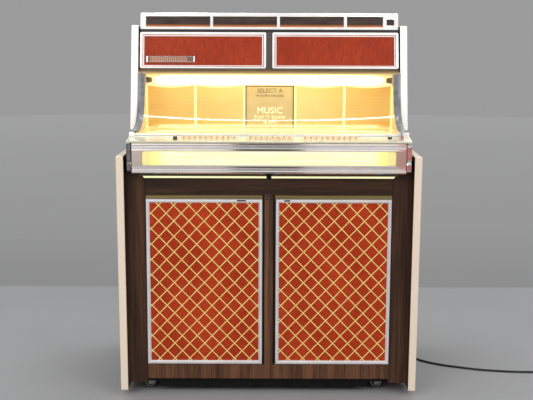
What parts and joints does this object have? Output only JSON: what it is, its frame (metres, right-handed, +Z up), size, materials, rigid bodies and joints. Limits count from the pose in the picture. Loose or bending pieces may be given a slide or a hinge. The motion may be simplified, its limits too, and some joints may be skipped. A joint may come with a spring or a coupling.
{
  "type": "jukebox",
  "caption": "Free-standing coin-operated record player console: walnut cabinet on casters, cloth-covered door, lit bar, key deck and a tilting lid with a curved window.",
  "frame": {"origin": "on the floor under the middle of the cabinet, without the mains lead", "axes": "-Y is the front, +X is the right-hand side seen from the front, +Z is up"},
  "size_m": [1.6377, 0.7727, 1.318],
  "materials": {
    "walnut": "satin dark walnut-grain laminate, with cream-coloured edge banding on the side panels",
    "dark_frame": "matt black painted board",
    "speaker_cloth": "orange-red woven speaker cloth with a gold diamond lattice",
    "chrome": "polished chrome",
    "plated_plastic": "plated moulding, bright, with dark smoked windows",
    "aluminium": "brushed, bright anodised",
    "cast_alloy": "plain cast alloy",
    "steel": "plated steel",
    "lit_lens": "cream diffusing plastic, lit from behind",
    "acrylic": "clear acrylic sheet",
    "lamp_glass": "warm white fluorescent tube, lit",
    "title_card": "amber translucent title panels, lit",
    "key_plastic": "cream moulded keys with orange labels",
    "vinyl": "black vinyl records on a dark holder",
    "black_rubber": "black moulded rubber"
  },
  "bodies": {
    "cabinet": {"cabinet_left_side": "walnut", "cabinet_right_side": "walnut", "cabinet_carcass": "dark_frame", "back_panel": "walnut", "light_bar_housing": "aluminium", "light_bar_lens": "lit_lens", "selector_panel": "aluminium", "coin_entry": "chrome", "mechanism_bed": "cast_alloy", "amplifier": "cast_alloy", "cord_tube": "black_rubber", "cord_coil": "black_rubber", "plug": "black_rubber"},
    "lid": {"lid_shell": "dark_frame", "lid_left_side": "walnut", "lid_right_side": "walnut", "lid_window": "acrylic", "top_cap": "plated_plastic", "title_board": "title_card", "display_lamp": "lamp_glass"},
    "door": {"door_frame": "walnut", "grille_left": "speaker_cloth", "grille_right": "speaker_cloth"},
    "lock": {"door_lock": "chrome"},
    "front_left_caster": {"front_left_caster_fork": "steel"},
    "front_left_wheel": {"front_left_caster_wheel": "black_rubber"},
    "front_right_caster": {"front_right_caster_fork": "steel"},
    "front_right_wheel": {"front_right_caster_wheel": "black_rubber"},
    "rear_left_wheel": {"rear_left_caster_wheel": "black_rubber"},
    "rear_right_wheel": {"rear_right_caster_wheel": "black_rubber"},
    "magazine": {"record_magazine": "vinyl"},
    "platter": {"turntable": "steel"},
    "key_01": {"selector_key_01": "key_plastic"},
    "key_02": {"selector_key_02": "key_plastic"},
    "key_03": {"selector_key_03": "key_plastic"},
    "key_04": {"selector_key_04": "key_plastic"},
    "key_05": {"selector_key_05": "key_plastic"},
    "key_06": {"selector_key_06": "key_plastic"},
    "key_07": {"selector_key_07": "key_plastic"},
    "key_08": {"selector_key_08": "key_plastic"},
    "key_09": {"selector_key_09": "key_plastic"},
    "key_10": {"selector_key_10": "key_plastic"},
    "key_11": {"selector_key_11": "key_plastic"},
    "key_12": {"selector_key_12": "key_plastic"},
    "key_13": {"selector_key_13": "key_plastic"},
    "key_14": {"selector_key_14": "key_plastic"},
    "key_15": {"selector_key_15": "key_plastic"},
    "key_16": {"selector_key_16": "key_plastic"},
    "key_17": {"selector_key_17": "key_plastic"},
    "key_18": {"selector_key_18": "key_plastic"},
    "key_19": {"selector_key_19": "key_plastic"},
    "key_20": {"selector_key_20": "key_plastic"},
    "key_21": {"selector_key_21": "key_plastic"},
    "key_22": {"selector_key_22": "key_plastic"},
    "key_23": {"selector_key_23": "key_plastic"},
    "key_24": {"selector_key_24": "key_plastic"},
    "key_25": {"selector_key_25": "key_plastic"},
    "key_26": {"selector_key_26": "key_plastic"},
    "key_27": {"selector_key_27": "key_plastic"},
    "key_28": {"selector_key_28": "key_plastic"}
  },
  "joints": [
    {"name": "lid_hinge", "type": "hinge", "parent": "cabinet", "child": "lid", "pos_m": [0, 0.322, 0.89], "axis": [-1, 0, 0], "range_deg": [0, 60]},
    {"name": "door_hinge", "type": "hinge", "parent": "cabinet", "child": "door", "pos_m": [0, -0.28, 0.0545], "axis": [1, 0, 0], "range_deg": [0, 80]},
    {"name": "door_lock_turn", "type": "hinge", "parent": "door", "child": "lock", "pos_m": [0, -0.277, 0.697], "axis": [0, 1, 0], "range_deg": [0, 90]},
    {"name": "front_left_swivel", "type": "hinge", "parent": "cabinet", "child": "front_left_caster", "pos_m": [-0.4, -0.205, 0.0536], "axis": [0, 0, 1], "continuous": true},
    {"name": "front_right_swivel", "type": "hinge", "parent": "cabinet", "child": "front_right_caster", "pos_m": [0.4, -0.205, 0.0536], "axis": [0, 0, 1], "continuous": true},
    {"name": "front_left_spin", "type": "hinge", "parent": "front_left_caster", "child": "front_left_wheel", "pos_m": [-0.418, -0.205, 0.0225], "axis": [0, 1, 0], "continuous": true},
    {"name": "front_right_spin", "type": "hinge", "parent": "front_right_caster", "child": "front_right_wheel", "pos_m": [0.382, -0.205, 0.0225], "axis": [0, 1, 0], "continuous": true},
    {"name": "rear_left_spin", "type": "hinge", "parent": "cabinet", "child": "rear_left_wheel", "pos_m": [-0.4, 0.235, 0.0225], "axis": [1, 0, 0], "continuous": true},
    {"name": "rear_right_spin", "type": "hinge", "parent": "cabinet", "child": "rear_right_wheel", "pos_m": [0.4, 0.235, 0.0225], "axis": [1, 0, 0], "continuous": true},
    {"name": "magazine_spin", "type": "hinge", "parent": "cabinet", "child": "magazine", "pos_m": [-0.12, 0.03, 0.64], "axis": [0, 0, 1], "continuous": true},
    {"name": "turntable_spin", "type": "hinge", "parent": "cabinet", "child": "platter", "pos_m": [0.235, 0.03, 0.74], "axis": [1, 0, 0], "continuous": true},
    {"name": "key_01_press", "type": "slide", "parent": "cabinet", "child": "key_01", "axis": [0, 0, -1], "range_m": [0, 0.004], "stiffness_N_per_m": 250},
    {"name": "key_02_press", "type": "slide", "parent": "cabinet", "child": "key_02", "axis": [0, 0, -1], "range_m": [0, 0.004], "stiffness_N_per_m": 250},
    {"name": "key_03_press", "type": "slide", "parent": "cabinet", "child": "key_03", "axis": [0, 0, -1], "range_m": [0, 0.004], "stiffness_N_per_m": 250},
    {"name": "key_04_press", "type": "slide", "parent": "cabinet", "child": "key_04", "axis": [0, 0, -1], "range_m": [0, 0.004], "stiffness_N_per_m": 250},
    {"name": "key_05_press", "type": "slide", "parent": "cabinet", "child": "key_05", "axis": [0, 0, -1], "range_m": [0, 0.004], "stiffness_N_per_m": 250},
    {"name": "key_06_press", "type": "slide", "parent": "cabinet", "child": "key_06", "axis": [0, 0, -1], "range_m": [0, 0.004], "stiffness_N_per_m": 250},
    {"name": "key_07_press", "type": "slide", "parent": "cabinet", "child": "key_07", "axis": [0, 0, -1], "range_m": [0, 0.004], "stiffness_N_per_m": 250},
    {"name": "key_08_press", "type": "slide", "parent": "cabinet", "child": "key_08", "axis": [0, 0, -1], "range_m": [0, 0.004], "stiffness_N_per_m": 250},
    {"name": "key_09_press", "type": "slide", "parent": "cabinet", "child": "key_09", "axis": [0, 0, -1], "range_m": [0, 0.004], "stiffness_N_per_m": 250},
    {"name": "key_10_press", "type": "slide", "parent": "cabinet", "child": "key_10", "axis": [0, 0, -1], "range_m": [0, 0.004], "stiffness_N_per_m": 250},
    {"name": "key_11_press", "type": "slide", "parent": "cabinet", "child": "key_11", "axis": [0, 0, -1], "range_m": [0, 0.004], "stiffness_N_per_m": 250},
    {"name": "key_12_press", "type": "slide", "parent": "cabinet", "child": "key_12", "axis": [0, 0, -1], "range_m": [0, 0.004], "stiffness_N_per_m": 250},
    {"name": "key_13_press", "type": "slide", "parent": "cabinet", "child": "key_13", "axis": [0, 0, -1], "range_m": [0, 0.004], "stiffness_N_per_m": 250},
    {"name": "key_14_press", "type": "slide", "parent": "cabinet", "child": "key_14", "axis": [0, 0, -1], "range_m": [0, 0.004], "stiffness_N_per_m": 250},
    {"name": "key_15_press", "type": "slide", "parent": "cabinet", "child": "key_15", "axis": [0, 0, -1], "range_m": [0, 0.004], "stiffness_N_per_m": 250},
    {"name": "key_16_press", "type": "slide", "parent": "cabinet", "child": "key_16", "axis": [0, 0, -1], "range_m": [0, 0.004], "stiffness_N_per_m": 250},
    {"name": "key_17_press", "type": "slide", "parent": "cabinet", "child": "key_17", "axis": [0, 0, -1], "range_m": [0, 0.004], "stiffness_N_per_m": 250},
    {"name": "key_18_press", "type": "slide", "parent": "cabinet", "child": "key_18", "axis": [0, 0, -1], "range_m": [0, 0.004], "stiffness_N_per_m": 250},
    {"name": "key_19_press", "type": "slide", "parent": "cabinet", "child": "key_19", "axis": [0, 0, -1], "range_m": [0, 0.004], "stiffness_N_per_m": 250},
    {"name": "key_20_press", "type": "slide", "parent": "cabinet", "child": "key_20", "axis": [0, 0, -1], "range_m": [0, 0.004], "stiffness_N_per_m": 250},
    {"name": "key_21_press", "type": "slide", "parent": "cabinet", "child": "key_21", "axis": [0, 0, -1], "range_m": [0, 0.004], "stiffness_N_per_m": 250},
    {"name": "key_22_press", "type": "slide", "parent": "cabinet", "child": "key_22", "axis": [0, 0, -1], "range_m": [0, 0.004], "stiffness_N_per_m": 250},
    {"name": "key_23_press", "type": "slide", "parent": "cabinet", "child": "key_23", "axis": [0, 0, -1], "range_m": [0, 0.004], "stiffness_N_per_m": 250},
    {"name": "key_24_press", "type": "slide", "parent": "cabinet", "child": "key_24", "axis": [0, 0, -1], "range_m": [0, 0.004], "stiffness_N_per_m": 250},
    {"name": "key_25_press", "type": "slide", "parent": "cabinet", "child": "key_25", "axis": [0, 0, -1], "range_m": [0, 0.004], "stiffness_N_per_m": 250},
    {"name": "key_26_press", "type": "slide", "parent": "cabinet", "child": "key_26", "axis": [0, 0, -1], "range_m": [0, 0.004], "stiffness_N_per_m": 250},
    {"name": "key_27_press", "type": "slide", "parent": "cabinet", "child": "key_27", "axis": [0, 0, -1], "range_m": [0, 0.004], "stiffness_N_per_m": 250},
    {"name": "key_28_press", "type": "slide", "parent": "cabinet", "child": "key_28", "axis": [0, 0, -1], "range_m": [0, 0.004], "stiffness_N_per_m": 250}
  ]
}
